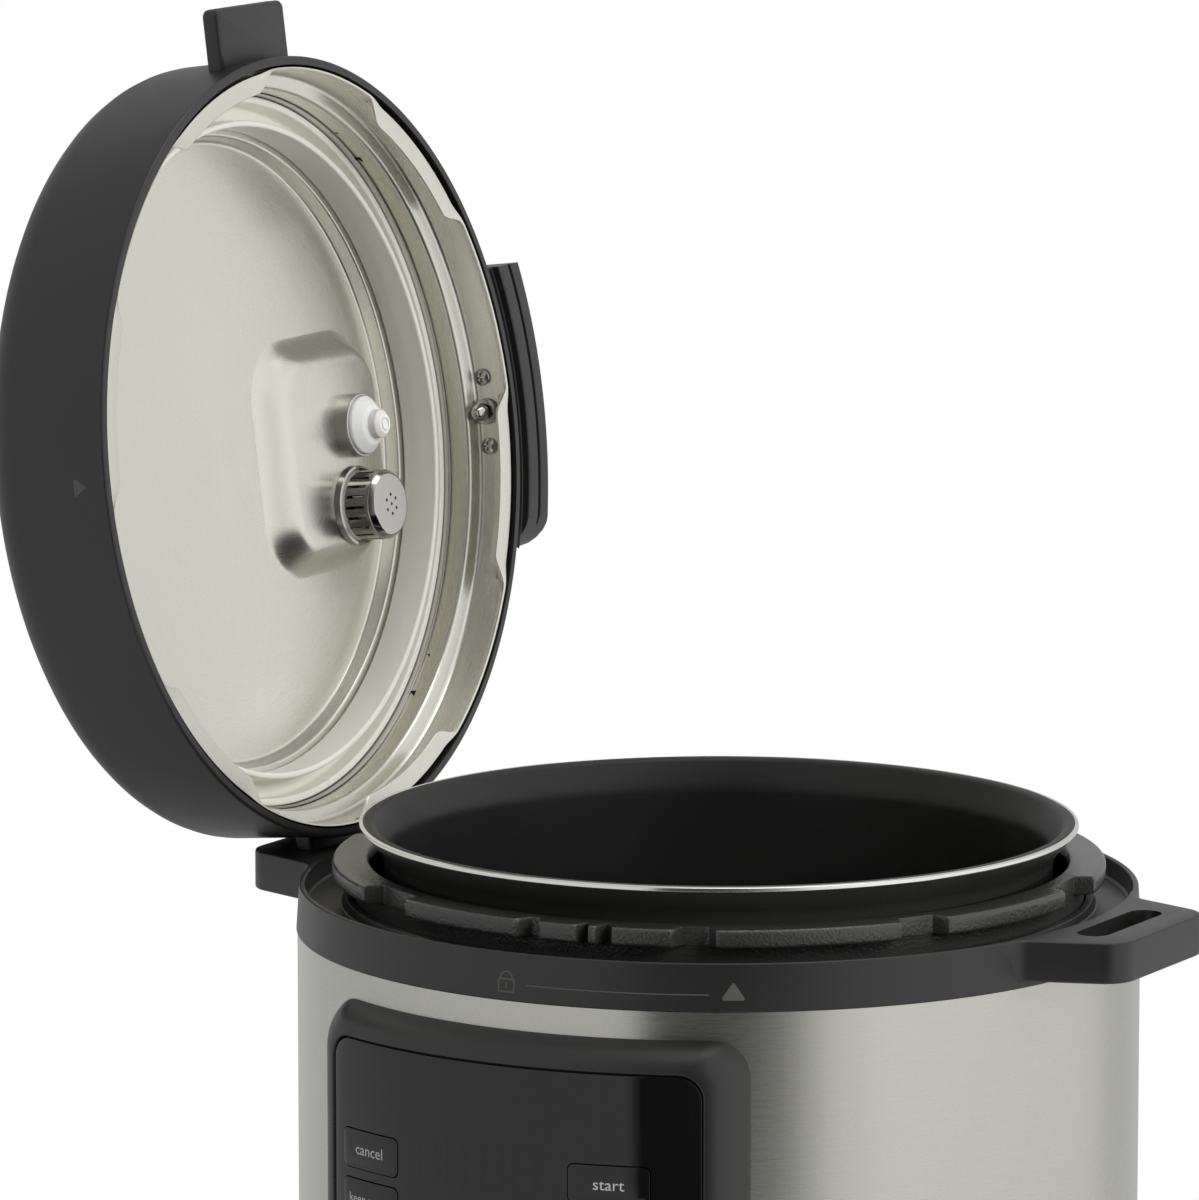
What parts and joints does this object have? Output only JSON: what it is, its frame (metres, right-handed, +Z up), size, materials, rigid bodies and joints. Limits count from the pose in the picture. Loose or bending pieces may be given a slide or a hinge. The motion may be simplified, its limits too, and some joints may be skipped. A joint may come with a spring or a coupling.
{
  "type": "electric pressure cooker",
  "caption": "Round electric pressure cooker with its lid parked upright in a side handle's slot, a control panel on the front and a pot that lifts out.",
  "frame": {"origin": "centre of the drum, on the surface that the feet stand on", "axes": "+Z up, the control panel faces -Y, the side handles point along X"},
  "size_m": [0.4268, 0.3483, 0.5567],
  "materials": {
    "black_plastic": "fine matte texture",
    "foot_rubber": "matte",
    "small_steel": "satin",
    "board": "satin",
    "sleeve_steel": "upright brushing",
    "lid_steel": "satin",
    "housing_metal": "dull",
    "cast_black": "textured black",
    "pot_metal": "dark non-stick coating",
    "plate_metal": "cast",
    "element_metal": "dull",
    "panel_plastic": "gloss",
    "key_plastic": "gloss",
    "cup_plastic": "translucent",
    "silicone": "translucent, satin",
    "knob_plastic": "matte"
  },
  "bodies": {
    "base": {"base_pan": "black_plastic", "rubber_foot_1": "foot_rubber", "rubber_foot_2": "foot_rubber", "rubber_foot_3": "foot_rubber", "rubber_foot_4": "foot_rubber", "base_screws": "small_steel", "power_board": "board", "outer_sleeve": "sleeve_steel", "top_ring": "black_plastic", "inner_housing": "housing_metal", "bayonet_ring": "cast_black", "heating_plate": "plate_metal", "heating_element": "element_metal", "sensor_spring": "small_steel", "sensor_bracket": "small_steel", "pressure_switch": "black_plastic", "thermal_fuse": "plate_metal", "panel_bezel": "panel_plastic", "panel_window": "panel_plastic", "display_board": "board", "power_inlet": "black_plastic", "cup_bracket": "black_plastic"},
    "pot": {"inner_pot": "pot_metal"},
    "sensor": {"temperature_sensor": "plate_metal"},
    "cup": {"condensation_cup": "cup_plastic"},
    "lid": {"lid_cover": "black_plastic", "lid_handle": "black_plastic", "lid_grip": "black_plastic", "lid_shell": "lid_steel", "sealing_ring": "silicone", "gasket_rack": "small_steel", "float_collar": "small_steel", "exhaust_stem": "small_steel", "exhaust_nut": "small_steel", "pin_bush": "small_steel", "pin_spring": "small_steel", "lid_screws": "small_steel"},
    "float": {"float_cap": "silicone", "float_valve": "small_steel"},
    "shield": {"anti_block_shield": "lid_steel"},
    "release": {"steam_release_knob": "knob_plastic"},
    "lock_pin": {"locking_pin": "small_steel"},
    "stop_key_body": {"stop_key": "key_plastic"},
    "warm_key_body": {"warm_key": "key_plastic"},
    "timer_key_body": {"timer_key": "key_plastic"},
    "start_key_body": {"start_key": "key_plastic"},
    "plus_key_body": {"plus_key": "key_plastic"},
    "minus_key_body": {"minus_key": "key_plastic"}
  },
  "joints": [
    {"name": "lid_lift", "type": "slide", "parent": "base", "child": "lid", "axis": [-0.1253, 0, 0.9921], "range_m": [0, 0.06]},
    {"name": "pot_lift", "type": "slide", "parent": "base", "child": "pot", "axis": [0, 0, 1], "range_m": [0, 0.19]},
    {"name": "sensor_press", "type": "slide", "parent": "base", "child": "sensor", "axis": [0, 0, -1], "range_m": [0, 0.002], "stiffness_N_per_m": 400, "springref_m": -0.001, "deforming": ["sensor_spring"]},
    {"name": "cup_slide", "type": "slide", "parent": "base", "child": "cup", "axis": [0, 1, 0], "range_m": [0, 0.03]},
    {"name": "float_rise", "type": "slide", "parent": "lid", "child": "float", "axis": [-0.9921, 0, -0.1253], "range_m": [0, 0.004]},
    {"name": "shield_pull", "type": "slide", "parent": "lid", "child": "shield", "axis": [0.9921, 0, 0.1253], "range_m": [0, 0.02]},
    {"name": "release_turn", "type": "hinge", "parent": "lid", "child": "release", "pos_m": [-0.22197, 0.076, 0.35922], "axis": [0.9921, 0, 0.1253], "range_deg": [0, 45]},
    {"name": "pin_retract", "type": "slide", "parent": "lid", "child": "lock_pin", "axis": [0, 1, 0], "range_m": [0, 0.004], "stiffness_N_per_m": 300, "springref_m": -0.001},
    {"name": "stop_key_press", "type": "slide", "parent": "base", "child": "stop_key_body", "axis": [0, 1, 0], "range_m": [0, 0.0008], "stiffness_N_per_m": 800, "springref_m": -0.0003},
    {"name": "warm_key_press", "type": "slide", "parent": "base", "child": "warm_key_body", "axis": [0, 1, 0], "range_m": [0, 0.0008], "stiffness_N_per_m": 800, "springref_m": -0.0003},
    {"name": "timer_key_press", "type": "slide", "parent": "base", "child": "timer_key_body", "axis": [0, 1, 0], "range_m": [0, 0.0008], "stiffness_N_per_m": 800, "springref_m": -0.0003},
    {"name": "start_key_press", "type": "slide", "parent": "base", "child": "start_key_body", "axis": [0, 1, 0], "range_m": [0, 0.0008], "stiffness_N_per_m": 800, "springref_m": -0.0003},
    {"name": "plus_key_press", "type": "slide", "parent": "base", "child": "plus_key_body", "axis": [0, 1, 0], "range_m": [0, 0.0008], "stiffness_N_per_m": 800, "springref_m": -0.0003},
    {"name": "minus_key_press", "type": "slide", "parent": "base", "child": "minus_key_body", "axis": [0, 1, 0], "range_m": [0, 0.0008], "stiffness_N_per_m": 800, "springref_m": -0.0003}
  ]
}
